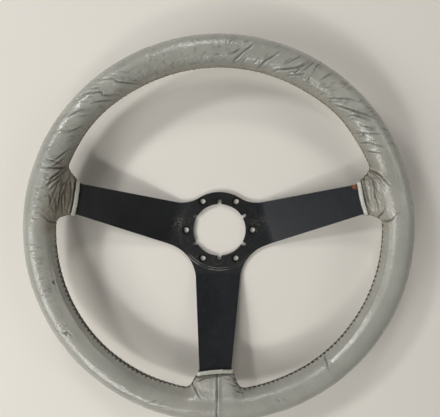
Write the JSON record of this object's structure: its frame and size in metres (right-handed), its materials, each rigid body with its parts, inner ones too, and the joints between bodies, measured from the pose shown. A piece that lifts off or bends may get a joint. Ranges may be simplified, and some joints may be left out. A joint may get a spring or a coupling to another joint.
{
  "type": "steering wheel",
  "caption": "Dished sports steering wheel: pressed spoke plate with a bolt-on hub face, and a foam rim covered in hand-sewn leather.",
  "frame": {"origin": "centre of the bolt circle on the hub's back face, which the boss bolts to and the wheel rests on", "axes": "+Z along the steering axis towards the driver, +Y towards twelve o'clock, so the lower spoke points to -Y"},
  "size_m": [0.38, 0.38, 0.0522],
  "materials": {
    "spoke_paint": "satin black coating on aluminium sheet, worn to bare metal at the holes",
    "hoop_metal": "plain mill finish, hidden in the rim",
    "rivet_metal": "plain, hidden in the rim",
    "rim_foam": "black moulded polyurethane, hidden under the leather",
    "rim_leather": "grey-green smooth leather, half gloss from handling, creased and scuffed",
    "hem_leather": "the same leather, paler where it is folded",
    "thread": "waxed polyester thread, soiled"
  },
  "bodies": {
    "root": {"spoke_plate": "spoke_paint", "rim_hoop": "hoop_metal", "spoke_rivets_right": "rivet_metal", "spoke_rivets_left": "rivet_metal", "spoke_rivets_lower": "rivet_metal", "rim_foam_core": "rim_foam", "leather_cover": "rim_leather", "collar_hem_right": "hem_leather", "collar_hem_left": "hem_leather", "collar_hem_lower": "hem_leather", "collar_thread_right": "thread", "collar_thread_left": "thread", "collar_thread_lower": "thread", "inner_seam_thread_upper": "thread", "inner_seam_thread_lower_left": "thread", "inner_seam_thread_lower_right": "thread", "bottom_seam_thread": "thread"}
  },
  "joints": []
}
